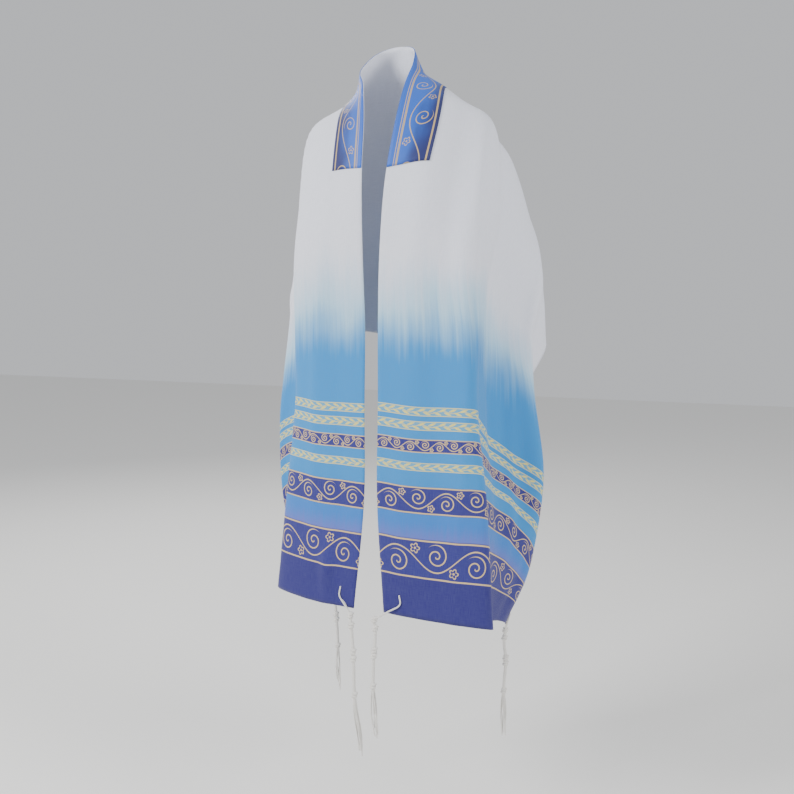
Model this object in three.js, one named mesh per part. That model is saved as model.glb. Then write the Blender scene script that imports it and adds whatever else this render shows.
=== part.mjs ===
// A fringed prayer shawl, worn: one rectangle of woven cloth over the shoulders,
// with a neck band sewn along the middle of one long edge and a knotted cord at
// each corner. Millimetres, +Z up, the wearer faces -Y. The origin is on the axis
// of the neck, level with the shoulders, where the wearer holds the shawl up.
import * as THREE from "three";

// Driving dimensions of the flat pieces.
const CLOTH_LENGTH = 2100;
const CLOTH_WIDTH = 510;
const CLOTH_THICKNESS = 1.2;
const BAND_LENGTH = 660;
const BAND_WIDTH = 68;
const BAND_THICKNESS = 0.9;
const SEAM_GAP = 0.3;
const CORD_DIAMETER = 6;

// How finely the rectangle is faceted: equal steps along and across the cloth.
const LENGTH_STEP = 30;
const WIDTH_STEPS = 15;
const RIB_SAMPLES = 120;

// A rib is a line across the cloth, square to the long edge. Each row is one rib:
// `along` is its distance from the centre back, and the named columns are the
// points [x, y, z] where it meets the lines of the drape, from the neck edge to
// the rear edge: the edge itself, the middle of the front panel (or the side of
// the neck), the front fold (or the shoulder), the tuck behind that fold, the side
// valley, the crest of the side flare, and the rear edge.
const COLUMNS = ["edge", "breast", "fold", "tuck", "valley", "crest", "rear"];

const LEFT_ARM_RIBS = [
  { along: 0, edge: [0, 62, 95], breast: [0, 72, 45], fold: [0, 100, -20],
    tuck: [0, 117, -72], valley: [0, 128, -130], crest: [0, 140, -260],
    rear: [0, 138, -405] },
  { along: 55, edge: [33, 38, 86], breast: [44, 58, 44], fold: [62, 92, -12],
    tuck: [66, 112, -64], valley: [66, 126, -120], crest: [56, 142, -255],
    rear: [46, 140, -408] },
  { along: 105, edge: [47, -8, 58], breast: [62, 6, 38], fold: [98, 44, 2],
    tuck: [112, 74, -40], valley: [116, 100, -90], crest: [104, 138, -230],
    rear: [90, 140, -402] },
  { along: 175, edge: [49, -60, 14], breast: [80, -34, 17], fold: [132, 10, -10],
    tuck: [158, 42, -48], valley: [172, 74, -100], crest: [164, 122, -235],
    rear: [146, 134, -398] },
  { along: 250, edge: [49, -105, -44], breast: [94, -82, -32], fold: [162, -22, -36],
    tuck: [192, 18, -76], valley: [212, 58, -128], crest: [226, 108, -255],
    rear: [202, 130, -402] },
  { along: 340, edge: [42, -136, -134], breast: [108, -124, -126], fold: [180, -76, -138],
    tuck: [202, -36, -166], valley: [220, 6, -202], crest: [254, 66, -306],
    rear: [256, 104, -412] },
  { along: 460, edge: [35, -146, -253], breast: [110, -148, -254], fold: [184, -118, -262],
    tuck: [192, -82, -274], valley: [198, -22, -312], crest: [240, 26, -395],
    rear: [236, 56, -482] },
  { along: 580, edge: [33, -149, -374], breast: [112, -152, -378], fold: [188, -134, -385],
    tuck: [188, -98, -398], valley: [198, -8, -446], crest: [252, 36, -508],
    rear: [212, 118, -560] },
  { along: 700, edge: [33, -150, -493], breast: [112, -154, -498], fold: [190, -136, -501],
    tuck: [186, -98, -520], valley: [206, 2, -584], crest: [268, 40, -632],
    rear: [226, 118, -672] },
  { along: 850, edge: [31, -150, -643], breast: [116, -154, -648], fold: [206, -134, -652],
    tuck: [200, -96, -672], valley: [214, 4, -724], crest: [248, 62, -786],
    rear: [220, 124, -824] },
  { along: 1050, edge: [42, -150, -843], breast: [128, -152, -850], fold: [220, -132, -860],
    tuck: [204, -92, -870], valley: [184, -20, -886], crest: [200, 50, -910],
    rear: [192, 104, -934] },
];

const RIGHT_ARM_RIBS = [
  { along: 0, edge: [0, 62, 95], breast: [0, 72, 45], fold: [0, 100, -20],
    tuck: [0, 117, -72], valley: [0, 128, -130], crest: [0, 140, -260],
    rear: [0, 138, -405] },
  { along: 55, edge: [-33, 40, 80], breast: [-42, 58, 36], fold: [-58, 90, -22],
    tuck: [-62, 110, -72], valley: [-62, 124, -130], crest: [-54, 140, -262],
    rear: [-46, 140, -408] },
  { along: 105, edge: [-44, -4, 50], breast: [-52, 8, 18], fold: [-88, 42, -24],
    tuck: [-102, 70, -62], valley: [-108, 94, -110], crest: [-100, 134, -240],
    rear: [-88, 140, -404] },
  { along: 175, edge: [-22, -60, 16], breast: [-48, -30, 0], fold: [-110, 8, -34],
    tuck: [-132, 38, -72], valley: [-144, 66, -122], crest: [-148, 116, -246],
    rear: [-136, 134, -402] },
  { along: 250, edge: [-6, -102, -44], breast: [-48, -74, -40], fold: [-128, -22, -58],
    tuck: [-147, 8, -98], valley: [-160, 36, -150], crest: [-182, 92, -272],
    rear: [-180, 122, -404] },
  { along: 340, edge: [1, -134, -134], breast: [-60, -112, -136], fold: [-130, -62, -150],
    tuck: [-148, -28, -180], valley: [-164, 8, -220], crest: [-198, 42, -306],
    rear: [-206, 104, -408] },
  { along: 460, edge: [6, -146, -253], breast: [-64, -140, -256], fold: [-128, -106, -266],
    tuck: [-132, -72, -284], valley: [-142, -26, -318], crest: [-190, 14, -372],
    rear: [-196, 92, -462] },
  { along: 580, edge: [11, -149, -374], breast: [-62, -142, -378], fold: [-128, -108, -382],
    tuck: [-127, -72, -396], valley: [-140, -20, -428], crest: [-204, 14, -478],
    rear: [-180, 112, -530] },
  { along: 700, edge: [10, -150, -497], breast: [-62, -142, -498], fold: [-130, -104, -497],
    tuck: [-126, -66, -508], valley: [-142, -12, -530], crest: [-214, 12, -566],
    rear: [-176, 116, -618] },
  { along: 850, edge: [9, -150, -648], breast: [-66, -140, -646], fold: [-146, -104, -642],
    tuck: [-142, -66, -652], valley: [-152, -12, -672], crest: [-212, 14, -706],
    rear: [-166, 112, -752] },
  { along: 1050, edge: [-10, -150, -842], breast: [-88, -138, -840], fold: [-168, -104, -834],
    tuck: [-152, -66, -840], valley: [-134, -12, -850], crest: [-166, 44, -868],
    rear: [-146, 110, -890] },
];

// The four corner cords: where each hangs from its knot under the hem to its end.
const CORNER_CORDS = {
  tzitzit_back_right: [
    [-148, 112, -900], [-147, 113, -925], [-144, 114, -965], [-142, 114, -1010], [-142, 114, -1060],
    [-142, 115, -1110],
  ],
  tzitzit_front_right: [
    [-14, -156, -852], [-12, -157, -880], [-9, -158, -915], [-8, -158, -960], [-6, -158, -1010],
    [1, -158, -1060], [4, -158, -1100],
  ],
  tzitzit_front_left: [
    [28, -157, -855], [30, -158, -880], [27, -158, -925], [26, -158, -975], [28, -158, -1020],
    [32, -158, -1062],
  ],
  tzitzit_back_left: [
    [191, 108, -945], [189, 109, -970], [192, 110, -1005], [189, 110, -1060], [189, 110, -1115],
    [191, 110, -1160],
  ],
};

// Slope of a curve through uneven stations, at station k.
function slopeAt(stations, points, k) {
  const last = stations.length - 1;
  const slope = (a, b) =>
    points[b].clone().sub(points[a]).divideScalar(stations[b] - stations[a]);
  if (k === 0) return slope(0, 1);
  if (k === last) return slope(last - 1, last);
  const before = stations[k] - stations[k - 1];
  const after = stations[k + 1] - stations[k];
  return slope(k - 1, k).multiplyScalar(after)
    .add(slope(k, k + 1).multiplyScalar(before))
    .divideScalar(before + after);
}

// A smooth curve through points at uneven stations, read at one place.
function curveAt(stations, points, place) {
  let k = 0;
  while (k < stations.length - 2 && place >= stations[k + 1]) k += 1;
  const span = stations[k + 1] - stations[k];
  const t = (place - stations[k]) / span;
  const startWeight = 2 * t ** 3 - 3 * t ** 2 + 1;
  const endWeight = 1 - startWeight;
  return points[k].clone().multiplyScalar(startWeight)
    .addScaledVector(slopeAt(stations, points, k), (t ** 3 - 2 * t ** 2 + t) * span)
    .addScaledVector(points[k + 1], endWeight)
    .addScaledVector(slopeAt(stations, points, k + 1), (t ** 3 - t ** 2) * span);
}

const mirrored = (point) => new THREE.Vector3(-point.x, point.y, point.z);

// Where the rib at a signed distance from the centre back meets one drape line.
// The second row is mirrored before the centre back, so the two sides join smoothly.
function drapeLineAt(column, along) {
  const rows = along < 0 ? RIGHT_ARM_RIBS : LEFT_ARM_RIBS;
  const points = rows.map((row) => new THREE.Vector3(...row[column]));
  const stations = rows.map((row) => row.along);
  return curveAt([-stations[1], ...stations], [mirrored(points[1]), ...points], Math.abs(along));
}

// One rib, as equal steps of cloth from the neck edge to the rear edge.
function ribAt(along) {
  const knots = COLUMNS.map((column) => drapeLineAt(column, along));
  const stations = [0];
  for (let k = 1; k < knots.length; k += 1) {
    stations.push(stations[k - 1] + Math.sqrt(knots[k].distanceTo(knots[k - 1])));
  }
  const fine = [];
  for (let i = 0; i <= RIB_SAMPLES; i += 1) {
    fine.push(curveAt(stations, knots, (stations.at(-1) * i) / RIB_SAMPLES));
  }
  const lengths = [0];
  for (let i = 1; i < fine.length; i += 1) {
    lengths.push(lengths[i - 1] + fine[i].distanceTo(fine[i - 1]));
  }
  const rib = [];
  let i = 1;
  for (let step = 0; step <= WIDTH_STEPS; step += 1) {
    const reach = (lengths.at(-1) * step) / WIDTH_STEPS;
    while (i < fine.length - 1 && lengths[i] < reach) i += 1;
    const part = (reach - lengths[i - 1]) / (lengths[i] - lengths[i - 1]);
    rib.push(fine[i - 1].clone().lerp(fine[i], Math.min(part, 1)));
  }
  return rib;
}

// The middle surface of the whole cloth: a grid of points and of outward normals.
const lengthSteps = CLOTH_LENGTH / LENGTH_STEP;
const clothPoints = [];
for (let i = 0; i <= lengthSteps; i += 1) {
  clothPoints.push(ribAt(i * LENGTH_STEP - CLOTH_LENGTH / 2));
}
const clothNormals = clothPoints.map((rib, i) => rib.map((_, j) => {
  const nextRib = clothPoints[Math.min(i + 1, lengthSteps)][j];
  const lastRib = clothPoints[Math.max(i - 1, 0)][j];
  const ahead = rib[Math.min(j + 1, WIDTH_STEPS)];
  const behind = rib[Math.max(j - 1, 0)];
  const alongCloth = nextRib.clone().sub(lastRib);
  const acrossCloth = ahead.clone().sub(behind);
  return alongCloth.cross(acrossCloth).normalize();
}));

// A closed wall over part of the grid, from `inner` to `outer` off the middle surface.
function wall(firstRib, lastRib, firstRow, lastRow, inner, outer) {
  const ribs = lastRib - firstRib + 1;
  const rows = lastRow - firstRow + 1;
  const positions = [];
  for (const offset of [inner, outer]) {
    for (let i = firstRib; i <= lastRib; i += 1) {
      for (let j = firstRow; j <= lastRow; j += 1) {
        const point = clothPoints[i][j].clone().addScaledVector(clothNormals[i][j], offset);
        positions.push(point.x, point.y, point.z);
      }
    }
  }
  const at = (side, i, j) => side * ribs * rows + i * rows + j;
  const faces = [];
  const quad = (a, b, c, d) => faces.push(a, c, b, a, d, c);
  for (let i = 0; i < ribs - 1; i += 1) {
    for (let j = 0; j < rows - 1; j += 1) {
      quad(at(1, i, j), at(1, i, j + 1), at(1, i + 1, j + 1), at(1, i + 1, j));
      quad(at(0, i, j), at(0, i + 1, j), at(0, i + 1, j + 1), at(0, i, j + 1));
    }
    quad(at(0, i, 0), at(1, i, 0), at(1, i + 1, 0), at(0, i + 1, 0));
    quad(at(1, i, rows - 1), at(0, i, rows - 1), at(0, i + 1, rows - 1), at(1, i + 1, rows - 1));
  }
  for (let j = 0; j < rows - 1; j += 1) {
    quad(at(1, 0, j), at(0, 0, j), at(0, 0, j + 1), at(1, 0, j + 1));
    const end = ribs - 1;
    quad(at(0, end, j), at(1, end, j), at(1, end, j + 1), at(0, end, j + 1));
  }
  const geometry = new THREE.BufferGeometry();
  geometry.setAttribute("position", new THREE.Float32BufferAttribute(positions, 3));
  geometry.setIndex(faces);
  return geometry;
}

function cloth() {
  const half = CLOTH_THICKNESS / 2;
  const geometry = wall(0, lengthSteps, 0, WIDTH_STEPS, -half, half);
  const material = new THREE.MeshStandardMaterial({ color: 0x7fb4d8, roughness: 0.85 });
  return piece("shawl_cloth", geometry, material);
}

// The neck band lies on the outside of the cloth, along the middle of the neck edge.
function neckBand() {
  const inner = CLOTH_THICKNESS / 2 + SEAM_GAP;
  const halfRibs = Math.round(BAND_LENGTH / 2 / LENGTH_STEP);
  const middle = lengthSteps / 2;
  const rows = Math.round(BAND_WIDTH / (CLOTH_WIDTH / WIDTH_STEPS));
  const geometry = wall(middle - halfRibs, middle + halfRibs, 0, rows, inner, inner + BAND_THICKNESS);
  const material = new THREE.MeshStandardMaterial({ color: 0x1d3f9c, roughness: 0.6 });
  return piece("neck_band", geometry, material);
}

// A corner cord is a round tube along its hanging line.
function cornerCord(name, points) {
  const line = new THREE.CatmullRomCurve3(points.map((point) => new THREE.Vector3(...point)));
  const round = new THREE.Shape();
  const sides = 8;
  for (let k = 0; k < sides; k += 1) {
    const angle = (2 * Math.PI * k) / sides;
    const x = (Math.cos(angle) * CORD_DIAMETER) / 2;
    const y = (Math.sin(angle) * CORD_DIAMETER) / 2;
    if (k === 0) round.moveTo(x, y);
    else round.lineTo(x, y);
  }
  const steps = Math.round(line.getLength() / (2.5 * CORD_DIAMETER));
  const geometry = new THREE.ExtrudeGeometry(round, { steps, extrudePath: line, curveSegments: 1 });
  const material = new THREE.MeshStandardMaterial({ color: 0xf2f0ea, roughness: 0.9 });
  return piece(name, geometry, material);
}

function piece(name, geometry, material) {
  const mesh = new THREE.Mesh(geometry, material);
  mesh.name = name;
  return mesh;
}

const shawl = new THREE.Group();
shawl.add(cloth());
shawl.add(neckBand());
for (const [name, points] of Object.entries(CORNER_CORDS)) {
  shawl.add(cornerCord(name, points));
}

export default shawl;
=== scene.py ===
# %% [markdown]
# # A worn prayer shawl
# The shawl is one rectangle of dyed cloth with woven cross bands. A wearer's neck and
# shoulders hold it, and it hangs in two long fronts. A neck band is sewn along the middle
# of one long edge, and each corner carries a knotted cord. Everything here is in metres.

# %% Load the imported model
import math
import random

import bmesh
import bpy
import numpy as np
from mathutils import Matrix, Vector


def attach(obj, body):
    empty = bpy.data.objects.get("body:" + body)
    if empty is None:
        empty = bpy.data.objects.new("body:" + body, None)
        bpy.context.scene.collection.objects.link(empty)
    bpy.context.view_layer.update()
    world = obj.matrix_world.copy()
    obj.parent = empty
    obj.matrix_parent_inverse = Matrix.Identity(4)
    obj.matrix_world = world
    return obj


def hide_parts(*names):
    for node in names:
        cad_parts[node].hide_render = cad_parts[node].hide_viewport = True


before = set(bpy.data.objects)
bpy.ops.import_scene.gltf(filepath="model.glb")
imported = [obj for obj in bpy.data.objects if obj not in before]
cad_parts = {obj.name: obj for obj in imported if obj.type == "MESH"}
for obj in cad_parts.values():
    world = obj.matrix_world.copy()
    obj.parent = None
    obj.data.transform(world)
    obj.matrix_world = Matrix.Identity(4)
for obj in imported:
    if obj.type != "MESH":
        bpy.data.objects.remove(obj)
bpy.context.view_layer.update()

# %% [markdown]
# The camera stands in front and a little to the wearer's left, at chest height, and looks
# slightly down. Its place is worked out from those few facts, so it can be read and changed.

# %% Camera
CAMERA_AZIMUTH = math.radians(18.0)
CAMERA_TILT = math.radians(7.6)
CAMERA_DISTANCE = 1.865
CAMERA_HEIGHT = -0.258
CAMERA_ASIDE = 0.0156
FOCAL_LENGTH_MM = 48.83

forward = Vector((-math.sin(CAMERA_AZIMUTH), math.cos(CAMERA_AZIMUTH), 0.0))
sideways = Vector((math.cos(CAMERA_AZIMUTH), math.sin(CAMERA_AZIMUTH), 0.0))
camera_data = bpy.data.cameras.new("camera")
camera_data.lens = FOCAL_LENGTH_MM
camera_data.sensor_width = 36.0
camera = bpy.data.objects.new("camera", camera_data)
bpy.context.scene.collection.objects.link(camera)
camera.location = sideways * CAMERA_ASIDE - forward * CAMERA_DISTANCE
camera.location.z = CAMERA_HEIGHT
camera.rotation_euler = (math.pi / 2 - CAMERA_TILT, 0.0, CAMERA_AZIMUTH)
bpy.context.scene.camera = camera
print("camera at", tuple(round(value, 3) for value in camera.location))

# %% [markdown]
# Materials are Python expressions: a `Wire` is one output of a node tree, and each operator
# adds the Math node that does it. That keeps a pattern's formula readable, where the same
# tree drawn by hand would be a screen of boxes. Colours are mixed with Mix nodes instead,
# because a Math node turns a colour grey.

# %% Shader helper
class Wire:
    """One output of a finish's node tree."""

    def __init__(self, finish, socket):
        self.finish = finish
        self.socket = socket

    def math(self, operation, *others):
        node = self.finish.node("ShaderNodeMath", {"operation": operation}, [self, *others])
        return Wire(self.finish, node.outputs[0])

    def reflected(self, operation, first):
        node = self.finish.node("ShaderNodeMath", {"operation": operation}, [first, self])
        return Wire(self.finish, node.outputs[0])

    def __add__(self, other):
        return self.math("ADD", other)

    def __radd__(self, other):
        return self.reflected("ADD", other)

    def __sub__(self, other):
        return self.math("SUBTRACT", other)

    def __rsub__(self, other):
        return self.reflected("SUBTRACT", other)

    def __mul__(self, other):
        return self.math("MULTIPLY", other)

    def __rmul__(self, other):
        return self.reflected("MULTIPLY", other)

    def __abs__(self):
        return self.math("ABSOLUTE")

    def fold(self, period):
        """The remainder after whole periods."""
        return self.math("FLOORED_MODULO", period)

    def most(self, other):
        return self.math("MAXIMUM", other)

    def step(self, low, high):
        """0 below low, 1 above high, smooth between."""
        settings = {"interpolation_type": "SMOOTHSTEP"}
        node = self.finish.node("ShaderNodeMapRange", settings, [self, low, high, 0.0, 1.0])
        return Wire(self.finish, node.outputs[0])

    def below(self, limit, soft):
        """1 where this is less than limit, with an edge as wide as soft."""
        return 1.0 - self.step(limit - soft / 2, limit + soft / 2)


class Finish:
    """A procedural material with one Principled shader."""

    def __init__(self, name):
        self.material = bpy.data.materials.new(name)
        self.material.use_nodes = True
        self.tree = self.material.node_tree
        self.shader = self.tree.nodes["Principled BSDF"]

    def node(self, kind, settings=None, inputs=()):
        """Adds any node: its settings first, then values or links for its sockets."""
        node = self.tree.nodes.new(kind)
        for name, value in (settings or {}).items():
            setattr(node, name, value)
        pairs = inputs.items() if isinstance(inputs, dict) else enumerate(inputs)
        for key, value in pairs:
            if isinstance(value, Wire):
                self.tree.links.new(value.socket, node.inputs[key])
            elif value is not None:
                node.inputs[key].default_value = value
        return node

    def wire(self, node, output=0):
        return Wire(self, node.outputs[output])

    def split(self, vector):
        parts = self.node("ShaderNodeSeparateXYZ", None, [vector])
        return [self.wire(parts, k) for k in range(3)]

    def flat_cloth(self):
        """Across and along the flat cloth, from the piece's own UV map."""
        return self.split(self.wire(self.node("ShaderNodeUVMap", {"uv_map": "flat"})))[:2]

    def vector(self, x, y, z=0.0):
        return self.wire(self.node("ShaderNodeCombineXYZ", None, [x, y, z]))

    def noise(self, vector, scale, detail=2.0, roughness=0.5):
        settings = {"noise_dimensions": "3D"}
        inputs = {"Vector": vector, "Scale": scale, "Detail": detail, "Roughness": roughness}
        return self.wire(self.node("ShaderNodeTexNoise", settings, inputs))

    def mix(self, factor, first, second):
        inputs = {"Factor": factor, "A": first, "B": second}
        node = self.node("ShaderNodeMix", {"data_type": "RGBA"})
        for name, value in inputs.items():
            sockets = [s for s in node.inputs if s.name == name and s.enabled]
            if isinstance(value, Wire):
                self.tree.links.new(value.socket, sockets[0])
            else:
                sockets[0].default_value = value
        return Wire(self, next(s for s in node.outputs if s.enabled))

    def link(self, wire, name):
        self.tree.links.new(wire.socket, self.shader.inputs[name])

    def bump(self, height, strength, distance):
        inputs = {"Height": height, "Strength": strength, "Distance": distance}
        self.link(self.wire(self.node("ShaderNodeBump", None, inputs)), "Normal")


def colour(red, green, blue):
    """A display colour from 0 to 255, as the linear values that shaders use."""
    parts = [value / 255 for value in (red, green, blue)]
    linear = [p / 12.92 if p <= 0.04045 else ((p + 0.055) / 1.055) ** 2.4 for p in parts]
    return (*linear, 1.0)


print("shader helper ready")

# %% [markdown]
# The drape is the imported model's own: ribs run across the cloth, and each row says where
# one rib meets the lines of the drape, in millimetres. A cloth simulation
# could find a drape too, but the folds of a shawl that has been arranged on a figure are
# chosen ones, so they are given one by one.

# %% Ribs of the drape
CLOTH_LENGTH = 2.10
CLOTH_WIDTH = 0.51
HALF_LENGTH = CLOTH_LENGTH / 2
# along, then edge, breast, fold, tuck, valley, crest and rear points
LEFT_ARM_RIBS = [
    (0, (0, 62, 95), (0, 72, 45), (0, 100, -20), (0, 117, -72),
     (0, 128, -130), (0, 140, -260), (0, 138, -405)),
    (55, (33, 38, 86), (44, 58, 44), (62, 92, -12), (66, 112, -64),
     (66, 126, -120), (56, 142, -255), (46, 140, -408)),
    (105, (47, -8, 58), (62, 6, 38), (98, 44, 2), (112, 74, -40),
     (116, 100, -90), (104, 138, -230), (90, 140, -402)),
    (175, (49, -60, 14), (80, -34, 17), (132, 10, -10), (158, 42, -48),
     (172, 74, -100), (164, 122, -235), (146, 134, -398)),
    (250, (49, -105, -44), (94, -82, -32), (162, -22, -36), (192, 18, -76),
     (212, 58, -128), (226, 108, -255), (202, 130, -402)),
    (340, (42, -136, -134), (108, -124, -126), (180, -76, -138), (202, -36, -166),
     (220, 6, -202), (254, 66, -306), (256, 104, -412)),
    (460, (35, -146, -253), (110, -148, -254), (184, -118, -262), (192, -82, -274),
     (198, -22, -312), (240, 26, -395), (236, 56, -482)),
    (580, (33, -149, -374), (112, -152, -378), (188, -134, -385), (188, -98, -398),
     (198, -8, -446), (252, 36, -508), (212, 118, -560)),
    (700, (33, -150, -493), (112, -154, -498), (190, -136, -501), (186, -98, -520),
     (206, 2, -584), (268, 40, -632), (226, 118, -672)),
    (850, (31, -150, -643), (116, -154, -648), (206, -134, -652), (200, -96, -672),
     (214, 4, -724), (248, 62, -786), (220, 124, -824)),
    (1050, (42, -150, -843), (128, -152, -850), (220, -132, -860), (204, -92, -870),
     (184, -20, -886), (200, 50, -910), (192, 104, -934)),
]
RIGHT_ARM_RIBS = [
    (0, (0, 62, 95), (0, 72, 45), (0, 100, -20), (0, 117, -72),
     (0, 128, -130), (0, 140, -260), (0, 138, -405)),
    (55, (-33, 40, 80), (-42, 58, 36), (-58, 90, -22), (-62, 110, -72),
     (-62, 124, -130), (-54, 140, -262), (-46, 140, -408)),
    (105, (-44, -4, 50), (-52, 8, 18), (-88, 42, -24), (-102, 70, -62),
     (-108, 94, -110), (-100, 134, -240), (-88, 140, -404)),
    (175, (-22, -60, 16), (-48, -30, 0), (-110, 8, -34), (-132, 38, -72),
     (-144, 66, -122), (-148, 116, -246), (-136, 134, -402)),
    (250, (-6, -102, -44), (-48, -74, -40), (-128, -22, -58), (-147, 8, -98),
     (-160, 36, -150), (-182, 92, -272), (-180, 122, -404)),
    (340, (1, -134, -134), (-60, -112, -136), (-130, -62, -150), (-148, -28, -180),
     (-164, 8, -220), (-198, 42, -306), (-206, 104, -408)),
    (460, (6, -146, -253), (-64, -140, -256), (-128, -106, -266), (-132, -72, -284),
     (-142, -26, -318), (-190, 14, -372), (-196, 92, -462)),
    (580, (11, -149, -374), (-62, -142, -378), (-128, -108, -382), (-127, -72, -396),
     (-140, -20, -428), (-204, 14, -478), (-180, 112, -530)),
    (700, (10, -150, -497), (-62, -142, -498), (-130, -104, -497), (-126, -66, -508),
     (-142, -12, -530), (-214, 12, -566), (-176, 116, -618)),
    (850, (9, -150, -648), (-66, -140, -646), (-146, -104, -642), (-142, -66, -652),
     (-152, -12, -672), (-212, 14, -706), (-166, 112, -752)),
    (1050, (-10, -150, -842), (-88, -138, -840), (-168, -104, -834), (-152, -66, -840),
     (-134, -12, -850), (-166, 44, -868), (-146, 110, -890)),
]


def slope_at(stations, points, k):
    """Slope of a curve through uneven stations, at station k."""
    if k == 0:
        return (points[1] - points[0]) / (stations[1] - stations[0])
    if k == len(stations) - 1:
        return (points[-1] - points[-2]) / (stations[-1] - stations[-2])
    before = stations[k] - stations[k - 1]
    after = stations[k + 1] - stations[k]
    slope_in = (points[k] - points[k - 1]) / before
    slope_out = (points[k + 1] - points[k]) / after
    return (slope_in * after + slope_out * before) / (before + after)


def curve_at(stations, points, place):
    """A smooth curve through points at uneven stations, read at one place."""
    k = min(max(int(np.searchsorted(stations, place, side="right")) - 1, 0), len(stations) - 2)
    span = stations[k + 1] - stations[k]
    t = (place - stations[k]) / span
    start_weight = 2 * t**3 - 3 * t**2 + 1
    start_slope = slope_at(stations, points, k) * span
    end_slope = slope_at(stations, points, k + 1) * span
    return (
        points[k] * start_weight
        + start_slope * (t**3 - 2 * t**2 + t)
        + points[k + 1] * (1 - start_weight)
        + end_slope * (t**3 - t**2)
    )


def rib_at(along, samples=100):
    """One rib, in metres: its fine points and how far across the cloth each one is."""
    rows = RIGHT_ARM_RIBS if along < 0 else LEFT_ARM_RIBS
    stations = [-rows[1][0] / 1000] + [row[0] / 1000 for row in rows]
    knots = []
    for column in range(1, 8):
        points = [np.array(row[column]) / 1000 for row in rows]
        points.insert(0, points[1] * np.array([-1, 1, 1]))
        knots.append(curve_at(stations, points, abs(along)))
    reach = [0.0]
    for first, second in zip(knots, knots[1:]):
        reach.append(reach[-1] + math.sqrt(np.linalg.norm(second - first)))
    fine = np.array([curve_at(reach, knots, place) for place in np.linspace(0, reach[-1], samples)])
    lengths = np.concatenate([[0], np.cumsum(np.linalg.norm(np.diff(fine, axis=0), axis=1))])
    return fine, lengths / lengths[-1] * CLOTH_WIDTH


print("ribs:", len(LEFT_ARM_RIBS), "and", len(RIGHT_ARM_RIBS))

# %% [markdown]
# Small folds soften the ribs' smooth shape. Each row is one soft ridge or trough on the
# flat cloth: where its middle is, how far it runs and how wide it is, how high it stands
# (a trough is negative), and how it leans from straight down the cloth.

# %% Soft folds
# along, across, half length, half width, height, lean (all metres but the lean)
FOLDS = [
    (0.26, 0.17, 0.10, 0.016, 0.005, 0.5),
    (0.30, 0.21, 0.13, 0.020, -0.006, 0.4),
    (0.36, 0.16, 0.16, 0.014, 0.004, 0.15),
    (0.44, 0.12, 0.18, 0.018, -0.004, 0.05),
    (0.50, 0.06, 0.24, 0.022, 0.004, 0.0),
    (0.66, 0.145, 0.30, 0.012, 0.004, -0.02),
    (0.72, 0.10, 0.26, 0.020, -0.004, 0.03),
    (0.86, 0.04, 0.20, 0.020, 0.004, -0.04),
    (0.60, 0.27, 0.20, 0.018, -0.008, 0.08),
    (0.78, 0.34, 0.18, 0.022, 0.008, 0.05),
    (0.92, 0.42, 0.14, 0.024, -0.008, 0.0),
    (0.42, 0.40, 0.12, 0.022, 0.008, 0.3),
    (0.16, 0.30, 0.14, 0.022, 0.006, 0.4),
    (0.06, 0.36, 0.12, 0.024, -0.007, 0.2),
    (-0.24, 0.14, 0.10, 0.016, 0.006, 0.5),
    (-0.29, 0.20, 0.12, 0.018, -0.007, 0.45),
    (-0.38, 0.12, 0.16, 0.018, 0.004, 0.1),
    (-0.50, 0.06, 0.22, 0.020, -0.004, 0.0),
    (-0.66, 0.10, 0.26, 0.016, 0.004, 0.04),
    (-0.80, 0.05, 0.20, 0.022, -0.004, 0.0),
    (-0.62, 0.30, 0.22, 0.022, 0.008, 0.08),
    (-0.84, 0.36, 0.18, 0.024, -0.008, 0.05),
    (-0.98, 0.07, 0.05, 0.014, 0.007, 0.0),
    (-0.16, 0.32, 0.14, 0.024, -0.007, 0.4),
    (-0.05, 0.38, 0.12, 0.022, 0.006, 0.2),
    (-0.365, 0.34, 0.03, 0.05, -0.008, 0.0),
]


def fold_height(along, across):
    """How far the folds push the cloth out at one place of it."""
    height = 0.0
    for middle, centre, half_length, half_width, tall, lean in FOLDS:
        run = (along - middle) / half_length
        aside = (across - centre - lean * (abs(along) - abs(middle))) / half_width
        height += tall * math.exp(-run * run - aside * aside)
    return height


def cloth_patch(name, along_range, across_range, step, lift):
    """A grid of the flat cloth, moved on to the drape and lifted off its middle surface."""
    (along_low, along_high), (across_low, across_high) = along_range, across_range
    along_steps = round((along_high - along_low) / step)
    across_steps = round((across_high - across_low) / step)
    grid = bmesh.new()
    flat = grid.loops.layers.uv.new("flat")
    bmesh.ops.create_grid(grid, x_segments=along_steps, y_segments=across_steps, size=0.5)
    alongs = np.linspace(along_low, along_high, along_steps + 1)
    acrosses = np.linspace(across_low, across_high, across_steps + 1)
    surface = np.zeros((len(alongs), len(acrosses), 3))
    for i, along in enumerate(alongs):
        fine, reach = rib_at(along)
        for axis in range(3):
            surface[i, :, axis] = np.interp(acrosses, reach, fine[:, axis])
    outward = np.cross(np.gradient(surface, axis=0), np.gradient(surface, axis=1))
    outward /= np.linalg.norm(outward, axis=2, keepdims=True)
    places = {}
    for vert in grid.verts:
        i = round((vert.co.x + 0.5) * along_steps)
        j = round((vert.co.y + 0.5) * across_steps)
        places[vert] = (acrosses[j], alongs[i] + HALF_LENGTH)
        push = lift + fold_height(alongs[i], acrosses[j])
        vert.co = Vector(surface[i, j] + outward[i, j] * push)
    for face in grid.faces:
        face.smooth = True
        for loop in face.loops:
            loop[flat].uv = places[loop.vert]
    mesh = bpy.data.meshes.new(name)
    grid.to_mesh(mesh)
    grid.free()
    patch = bpy.data.objects.new(name, mesh)
    bpy.context.scene.collection.objects.link(patch)
    print(name, len(mesh.polygons), "faces")
    return patch


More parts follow.
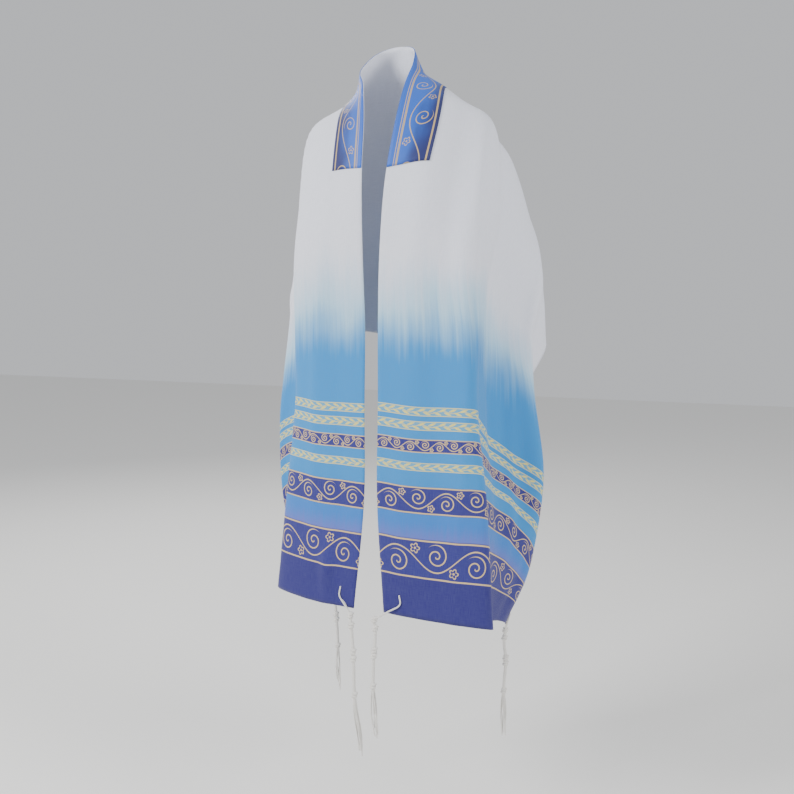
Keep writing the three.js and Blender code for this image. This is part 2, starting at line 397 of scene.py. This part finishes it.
def thicken(patch, thickness, offset):
    solidify = patch.modifiers.new("cloth thickness", "SOLIDIFY")
    solidify.thickness = thickness
    solidify.offset = offset
    return patch


# %% [markdown]
# The cloth is a fine grid on the drape, a little under a millimetre thick. Its UV map holds
# the flat cloth's own measures, so the dyed bands follow every fold. Many ribs are shorter
# than the flat cloth is wide, so the pattern is squeezed there, where real cloth would gather.

# %% Shawl cloth
CLOTH_STEP = 0.0072
whole_length = (-HALF_LENGTH, HALF_LENGTH)
shawl = cloth_patch("shawl", whole_length, (0.0, CLOTH_WIDTH), CLOTH_STEP, 0.0)
thicken(shawl, 0.0009, 0.0)
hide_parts("shawl_cloth")
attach(shawl, "root")

# %% Neck band
BAND_HALF_LENGTH = 0.330
BAND_WIDTH = 0.068
BAND_LIFT = 0.0012
BAND_STEP = 0.005
band_range = (-BAND_HALF_LENGTH, BAND_HALF_LENGTH)
neck_band = cloth_patch("neck_band_cloth", band_range, (0.0, BAND_WIDTH), BAND_STEP, BAND_LIFT)
thicken(neck_band, 0.0008, 0.0)
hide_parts("neck_band")
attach(neck_band, "root")

# %% [markdown]
# Each corner cord passes over both faces of its corner, is knotted and wound into a stem,
# and hangs loose below the last knot. The stem and every loose strand are curves. A hanging
# cord needs no simulation: it drops straight and sways a little.

# %% Corner cords
STEM_DIAMETER = 0.0058
STRAND_DIAMETER = 0.0022
LOOP_DIAMETER = 0.0026
LOOP_LIFT = 0.0022
KNOT_RADIUS = 0.0056
STRANDS = 6
STEM_SHARE = 0.55
KNOT_SHARES = (0.0, 0.07, 0.25, 0.30, STEM_SHARE)
CORNER_CORDS = {
    "tzitzit_back_right": [
        (-148, 112, -900), (-147, 113, -925), (-144, 114, -965), (-142, 114, -1010),
        (-142, 114, -1060), (-142, 115, -1110),
    ],
    "tzitzit_front_right": [
        (-14, -156, -852), (-12, -157, -880), (-9, -158, -915), (-8, -158, -960),
        (-6, -158, -1010), (1, -158, -1060), (4, -158, -1100),
    ],
    "tzitzit_front_left": [
        (28, -157, -855), (30, -158, -880), (27, -158, -925), (26, -158, -975),
        (28, -158, -1020), (32, -158, -1062),
    ],
    "tzitzit_back_left": [
        (191, 108, -945), (189, 109, -970), (192, 110, -1005), (189, 110, -1060),
        (189, 110, -1115), (191, 110, -1160),
    ],
}
EYELET_ACROSS = {"back": CLOTH_WIDTH - 0.035, "front": 0.035}
EYELET_FROM_HEM = 0.035


def polyline(name, points, diameter):
    """A round cord along points, as one open spline."""
    data = bpy.data.curves.new(name, "CURVE")
    data.dimensions = "3D"
    data.bevel_depth = diameter / 2
    data.bevel_resolution = 3
    data.use_fill_caps = True
    spline = data.splines.new("POLY")
    spline.points.add(len(points) - 1)
    for spot, point in zip(spline.points, points):
        spot.co = (*point, 1.0)
    cord = bpy.data.objects.new(name, data)
    bpy.context.scene.collection.objects.link(cord)
    length = sum(np.linalg.norm(b - a) for a, b in zip(points, points[1:]))
    return cord, float(length)


def smooth_line(knots, start, end, count):
    """Points of a smooth line through knots, from one share of its length to another."""
    stations = list(range(len(knots)))
    fine_places = np.linspace(0, len(knots) - 1, 200)
    fine = np.array([curve_at(stations, knots, place) for place in fine_places])
    reach = np.concatenate([[0], np.cumsum(np.linalg.norm(np.diff(fine, axis=0), axis=1))])
    places = np.linspace(start, end, count) * reach[-1]
    return np.stack([np.interp(places, reach, fine[:, axis]) for axis in range(3)], axis=1)


def knot_at(name, place, size):
    """A pulled-tight double knot: two fat turns beside each other."""
    knot = bmesh.new()
    for turn in (-0.28, 0.28):
        made = bmesh.ops.create_uvsphere(knot, u_segments=12, v_segments=8, radius=size)
        bmesh.ops.scale(knot, vec=(1.0, 0.9, 0.62), verts=made["verts"])
        spot = Vector(place) + Vector((size * turn * 0.4, 0.0, size * turn * 1.6))
        bmesh.ops.translate(knot, vec=spot, verts=made["verts"])
    for face in knot.faces:
        face.smooth = True
    mesh = bpy.data.meshes.new(name)
    knot.to_mesh(mesh)
    knot.free()
    piece = bpy.data.objects.new(name, mesh)
    bpy.context.scene.collection.objects.link(piece)
    return piece


def on_cloth(along, across, lift):
    """A point just off the outside of the draped cloth."""
    def middle(u, v):
        fine, reach = rib_at(u)
        return np.array([np.interp(v, reach, fine[:, axis]) for axis in range(3)])
    here = middle(along, across)
    run = middle(along + 0.002, across) - middle(along - 0.002, across)
    width = middle(along, across + 0.002) - middle(along, across - 0.002)
    outward = np.cross(run, width)
    outward /= np.linalg.norm(outward)
    return here + outward * (lift + fold_height(along, across))


cord_pieces = []
luck = random.Random(7)
for node, knots in CORNER_CORDS.items():
    knots = [np.array(knot) / 1000 for knot in knots]
    side = -1 if node.endswith("right") else 1
    across = EYELET_ACROSS["back" if "back" in node else "front"]
    stem_points = smooth_line(knots, 0.0, STEM_SHARE, 26)
    stem, stem_length = polyline(node + "_stem", stem_points, STEM_DIAMETER)
    places = [smooth_line(knots, share, share, 1)[0] for share in KNOT_SHARES]
    knot_pieces = [
        knot_at(f"{node}_knot_{count}", place, KNOT_RADIUS) for count, place in enumerate(places)
    ]
    hem_along = side * (HALF_LENGTH - EYELET_FROM_HEM)
    for face, lift in (("outer", LOOP_LIFT), ("inner", -LOOP_LIFT)):
        start = on_cloth(hem_along, across, lift * 0.6)
        edge_along = side * (HALF_LENGTH - 0.002)
        halfway = on_cloth((hem_along + edge_along) / 2, across, lift)
        turn = [start, halfway, (halfway + knots[0]) / 2, knots[0]]
        loop_points = smooth_line(turn, 0, 1, 24)
        loop, loop_length = polyline(f"{node}_loop_{face}", loop_points, LOOP_DIAMETER)
        cord_pieces.append(loop)
    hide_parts(node)
    cord_pieces += [stem, *knot_pieces]
    below = smooth_line(knots, STEM_SHARE, 1.0, 30)
    for strand in range(STRANDS):
        angle = 2 * math.pi * strand / STRANDS + luck.uniform(-0.3, 0.3)
        spread = luck.uniform(0.002, 0.006)
        reach = luck.uniform(0.72, 1.0)
        last = max(int(len(below) * reach), 8)
        points = below[:last].copy()
        for k, share in enumerate(np.linspace(0, 1, last)):
            sway = spread * math.sin(share * math.pi * 0.8) + 0.0012
            points[k, 0] += math.cos(angle + share) * sway
            points[k, 1] += math.sin(angle + share) * sway * 0.6
        piece, length = polyline(f"{node}_strand_{strand}", points, STRAND_DIAMETER)
        cord_pieces.append(piece)
for piece in cord_pieces:
    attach(piece, "root")
print("cord pieces:", len(cord_pieces))

# %% [markdown]
# The bands are drawn in the flat cloth's own measures. A running scroll is an old kind of
# border pattern: a wave, with a spiral in each of its bays and a small flower between.
# Each is a distance in metres turned into a line of gold thread.

# %% Scroll and leaf patterns
LINE_SOFT = 0.0007


def line_of(distance, half_width):
    """1 on a line of thread, 0 off it."""
    return abs(distance).below(half_width, LINE_SOFT)


def scroll(across, from_middle, height, period, thread):
    """A running scroll in a band, from the place across it and from its middle line."""
    borders = line_of(abs(from_middle) - height * 0.465, thread)
    turn = across * (2 * math.pi / period)
    wave = turn.math("SINE") * (height * 0.30)
    stem = line_of(from_middle - wave, thread * 0.9)
    drawn = borders.most(stem)
    for bay, up in ((0.25, -1.0), (0.75, 1.0)):
        aside = (across - (bay - 0.5) * period).fold(period) - period / 2
        above = from_middle - up * height * 0.10
        radius = (aside * aside + above * above).math("SQRT")
        angle = above.math("ARCTAN2", aside)
        pitch = height * 0.17
        coil = (radius - angle * (pitch / (2 * math.pi))).fold(pitch) - pitch / 2
        inside = radius.below(height * 0.30, LINE_SOFT)
        drawn = drawn.most(line_of(coil, thread * 0.85) * inside)
        leaf_aside = (across - (bay - 0.27) * period).fold(period) - period / 2
        leaf_above = from_middle + up * height * 0.27
        leaf_radius = (leaf_aside * leaf_aside + leaf_above * leaf_above).math("SQRT")
        leaf_angle = leaf_above.math("ARCTAN2", leaf_aside)
        petals = abs((leaf_angle * 2.5).math("COSINE")) * 0.45 + 0.55
        flower = line_of(leaf_radius - petals * (height * 0.12), thread * 0.8)
        heart = leaf_radius.below(height * 0.030, LINE_SOFT)
        drawn = drawn.most(flower.most(heart))
    return drawn


def leaf_vine(across, from_middle, height):
    """A narrow band of slanting leaves along a wavy stem, with an edge line on each side."""
    period = height * 1.1
    borders = line_of(abs(from_middle) - height * 0.44, 0.0006)
    wave = (across * (math.pi / period)).math("SINE") * (height * 0.12)
    drawn = borders.most(line_of(from_middle - wave, 0.0005))
    for start, up in ((0.0, 1.0), (0.5, -1.0)):
        place = (across + start * period).fold(period) - period / 2
        lean = from_middle * up - height * 0.18 - place * 0.35
        width = (place * (math.pi / (period * 0.8))).math("COSINE") * (height * 0.13)
        drawn = drawn.most((abs(lean) - width).below(0.0, LINE_SOFT))
    return drawn


# %% [markdown]
# The shawl's ground is dyed: white over the shoulders, running down in streaks to azure,
# and on to deep indigo at each end. The bands are given from the end hem upward.

# %% Shawl finish
# distance from the hem of each band's lower and upper edge, in metres, and its kind
BANDS = [
    (0.068, 0.134, "scroll"),
    (0.175, 0.220, "scroll"),
    (0.245, 0.259, "leaf"),
    (0.275, 0.297, "scroll"),
    (0.311, 0.326, "leaf"),
    (0.334, 0.349, "leaf"),
]
WHITE = colour(226, 228, 238)
PALE = colour(164, 208, 232)
AZURE = colour(34, 136, 205)
BLUE = colour(42, 118, 200)
PERIWINKLE = colour(96, 104, 190)
NAVY = colour(44, 42, 122)
INDIGO = colour(40, 34, 112)
GOLD = colour(214, 186, 132)
STRAW = colour(226, 212, 120)


def shawl_finish():
    finish = Finish("shawl cloth")
    across, along = finish.flat_cloth()
    from_hem = HALF_LENGTH - abs(along - HALF_LENGTH)
    streaks = finish.noise(finish.vector(across * 150.0, along * 4.0), 1.0, 3.0, 0.6)
    clouds = finish.noise(finish.vector(across * 9.0, along * 6.0), 1.0, 2.0)
    dyed = from_hem + (streaks - 0.5) * 0.07 + (clouds - 0.5) * 0.12
    ground = finish.mix(dyed.step(0.42, 0.52), AZURE, PALE)
    ground = finish.mix(dyed.step(0.47, 0.60), ground, WHITE)
    ground = finish.mix(from_hem.step(0.16, 0.24), BLUE, ground)
    fade = (from_hem + (streaks - 0.5) * 0.03).step(0.125, 0.165)
    ground = finish.mix(fade, PERIWINKLE, ground)
    ground = finish.mix(from_hem.step(0.128, 0.136), INDIGO, ground)
    for low, high, kind in BANDS:
        height = high - low
        middle = (low + high) / 2
        from_middle = from_hem - middle
        inside = abs(from_middle).below(height / 2, LINE_SOFT)
        if kind == "leaf":
            drawn = leaf_vine(across, from_middle, height)
            band = finish.mix(drawn, colour(96, 160, 196), STRAW)
        else:
            thread = 0.0007 + height * 0.009
            drawn = scroll(across, from_middle, height, height * 2.1, thread)
            band = finish.mix(drawn, NAVY, GOLD)
        ground = finish.mix(inside, ground, band)
    warp = finish.noise(finish.vector(across * 1400.0, along * 60.0), 1.0, 2.0)
    weft = finish.noise(finish.vector(across * 60.0, along * 1400.0), 1.0, 2.0)
    weave = warp * 0.6 + weft * 0.4
    shade = weave.step(0.25, 0.75) * 0.16
    finish.link(finish.mix(shade, ground, colour(120, 130, 160)), "Base Color")
    finish.bump(weave, 0.35, 0.0012)
    finish.shader.inputs["Roughness"].default_value = 0.82
    finish.shader.inputs["Specular IOR Level"].default_value = 0.25
    finish.shader.inputs["Sheen Weight"].default_value = 0.15
    return finish.material


shawl.data.materials.append(shawl_finish())

# %% Neck band finish
def neck_band_finish():
    finish = Finish("neck band")
    across, along = finish.flat_cloth()
    centred = along - HALF_LENGTH
    clouds = finish.noise(finish.vector(across * 30.0, along * 14.0), 1.0, 2.0)
    depth = (across * 9.0 + abs(centred) * 1.4 + (clouds - 0.5) * 0.5).step(0.55, 0.95)
    ground = finish.mix(depth, colour(36, 92, 190), colour(26, 34, 96))
    from_middle = across - BAND_WIDTH * 0.56
    drawn = scroll(along, from_middle, BAND_WIDTH * 0.72, 0.15, 0.0009)
    for place in (0.010, 0.0135, BAND_WIDTH - 0.006):
        drawn = drawn.most(line_of(across - place, 0.0006))
    finish.link(finish.mix(drawn, ground, colour(186, 160, 112)), "Base Color")
    threads = finish.noise(finish.vector(across * 1500.0, along * 200.0), 1.0, 2.0)
    finish.bump(threads + drawn * 0.8, 0.3, 0.0008)
    finish.shader.inputs["Roughness"].default_value = 0.6
    finish.shader.inputs["Sheen Weight"].default_value = 0.1
    return finish.material


neck_band.data.materials.append(neck_band_finish())

# %% Cord finish
def cord_finish():
    finish = Finish("white cord")
    place = finish.wire(finish.node("ShaderNodeTexCoord"), 3)
    x, y, z = finish.split(place)
    twist = ((z * 2400.0) + (x + y) * 1600.0).math("SINE")
    fuzz = finish.noise(place, 900.0, 2.0)
    finish.link(finish.mix(fuzz * 0.5, colour(240, 238, 232), colour(196, 192, 188)), "Base Color")
    finish.bump(twist * 0.5 + fuzz, 0.6, 0.0008)
    finish.shader.inputs["Roughness"].default_value = 0.9
    return finish.material


cord_material = cord_finish()
for piece in cord_pieces:
    piece.data.materials.append(cord_material)

# %% [markdown]
# A plain pale floor and three large soft lights: the strongest in front on the left, one on
# the right, and a weaker one behind that draws a bright rim on the shoulders.

# %% Floor and lights
floor_mesh = bpy.data.meshes.new("floor")
floor_grid = bmesh.new()
bmesh.ops.create_grid(floor_grid, x_segments=1, y_segments=1, size=6.0)
bmesh.ops.translate(floor_grid, vec=(0.0, 0.0, -1.30), verts=floor_grid.verts)
floor_grid.to_mesh(floor_mesh)
floor_grid.free()
floor = bpy.data.objects.new("floor", floor_mesh)
bpy.context.scene.collection.objects.link(floor)
floor_finish = Finish("floor")
floor_finish.shader.inputs["Base Color"].default_value = colour(236, 235, 232)
floor_finish.shader.inputs["Roughness"].default_value = 0.9
floor_mesh.materials.append(floor_finish.material)


def soft_light(name, place, power, size):
    light = bpy.data.lights.new(name, "AREA")
    light.energy = power
    light.size = size
    lamp = bpy.data.objects.new(name, light)
    lamp.location = place
    aim = Vector((0.0, 0.0, -0.4)) - Vector(place)
    lamp.rotation_euler = aim.to_track_quat("-Z", "Y").to_euler()
    bpy.context.scene.collection.objects.link(lamp)


soft_light("key light", (-1.7, -1.9, 1.0), 95, 0.9)
soft_light("side light", (2.4, -0.8, 0.6), 45, 0.8)
soft_light("back light", (-1.6, 2.0, 1.0), 40, 1.2)
world = bpy.data.worlds.new("studio")
world.use_nodes = True
world.node_tree.nodes["Background"].inputs["Color"].default_value = colour(232, 234, 238)
world.node_tree.nodes["Background"].inputs["Strength"].default_value = 0.75
bpy.context.scene.world = world

# %% [markdown]
# Blender adds each curve point's radius, one metre by default, to the box of a cord.
# The scene is brought up to date once more at the end.

# %% Update the scene
bpy.context.view_layer.update()
